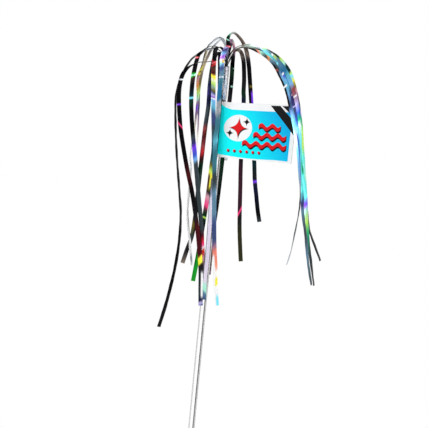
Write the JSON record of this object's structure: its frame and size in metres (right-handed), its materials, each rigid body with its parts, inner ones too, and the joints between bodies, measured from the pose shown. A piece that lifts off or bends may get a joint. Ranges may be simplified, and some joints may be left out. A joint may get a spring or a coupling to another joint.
{
  "type": "cat teaser wand",
  "caption": "Clear tube wand with holographic film streamers springing from its mouth and a folded header card that swivels on the tube.",
  "frame": {"origin": "centre of the tube's butt end, on the tube's axis", "axes": "+Z along the tube from the butt end to the mouth that the streamers spring from; -Y towards the viewer of the picture, +X to their right"},
  "size_m": [0.1507, 0.0822, 0.6435],
  "materials": {
    "clear_tube": "clear extruded plastic, polished",
    "film_dark": "holographic mirror film, dark where it faces the eye",
    "film_pale": "holographic mirror film, pale",
    "film_blue": "holographic mirror film, blue to green",
    "card_stock": "coated printed card, satin",
    "clear_tape": "clear adhesive tape"
  },
  "bodies": {
    "wand": {"rod_tube": "clear_tube", "root_wad": "film_blue", "streamer_far_left": "film_dark", "streamer_low_left": "film_dark", "streamer_left_front": "film_dark", "streamer_pale_outer": "film_pale", "streamer_pale_inner": "film_pale", "streamer_front_left": "film_dark", "streamer_back_left": "film_dark", "streamer_front_centre": "film_blue", "streamer_front_tube": "film_pale", "streamer_back_tube": "film_dark", "streamer_back_right": "film_dark", "streamer_tall_loop": "film_dark", "streamer_right_inner": "film_blue", "streamer_right_mid": "film_blue", "streamer_right_near": "film_blue", "streamer_right_outer": "film_blue"},
    "tag": {"tag_card": "card_stock", "tag_tape": "clear_tape"}
  },
  "joints": [
    {"name": "tag_swivel", "type": "hinge", "parent": "wand", "child": "tag", "pos_m": [0, 0, 0.548], "axis": [0, 0, 1], "range_deg": [-35, 42]}
  ]
}
